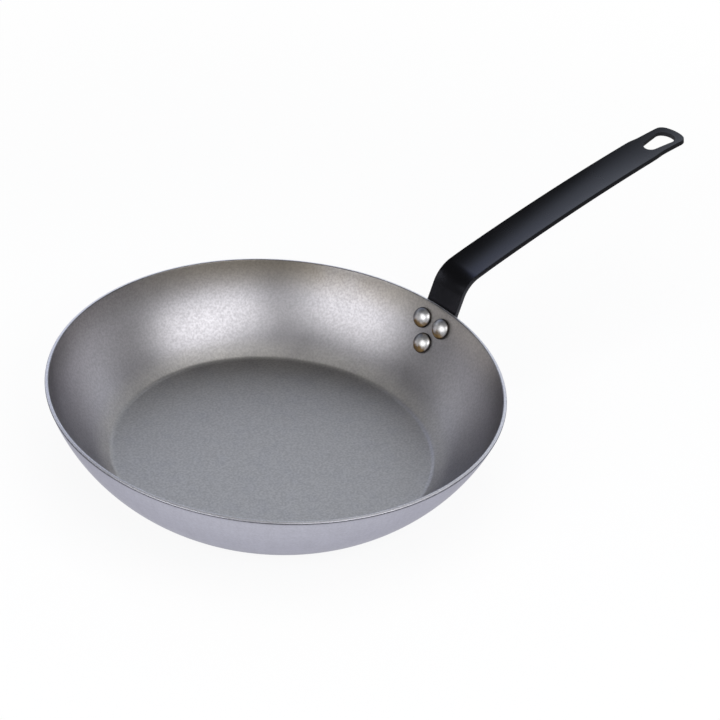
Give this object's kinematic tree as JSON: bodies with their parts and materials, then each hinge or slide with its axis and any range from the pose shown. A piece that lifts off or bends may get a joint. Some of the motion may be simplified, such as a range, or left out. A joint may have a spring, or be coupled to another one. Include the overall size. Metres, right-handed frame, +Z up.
{
  "type": "frying pan",
  "caption": "Round carbon steel frying pan with a flat base and curved flaring wall, and a riveted, rising black strip handle with a hanging hole.",
  "frame": {"origin": "middle of the flat underside of the base, on the surface that the pan stands on", "axes": "+Z up along the bowl's axis, +X from the bowl's axis along the handle towards its tip"},
  "size_m": [0.4975, 0.2796, 0.1126],
  "materials": {
    "bare_steel": "bare carbon steel, satin, finely brushed round the axis",
    "black_coating": "semi-matte black coating on steel strip",
    "rivet_steel": "polished domed heads"
  },
  "bodies": {
    "root": {"pan_body": "bare_steel", "handle": "black_coating", "rivet_upper_left": "rivet_steel", "rivet_upper_right": "rivet_steel", "rivet_lower": "rivet_steel"}
  },
  "joints": []
}
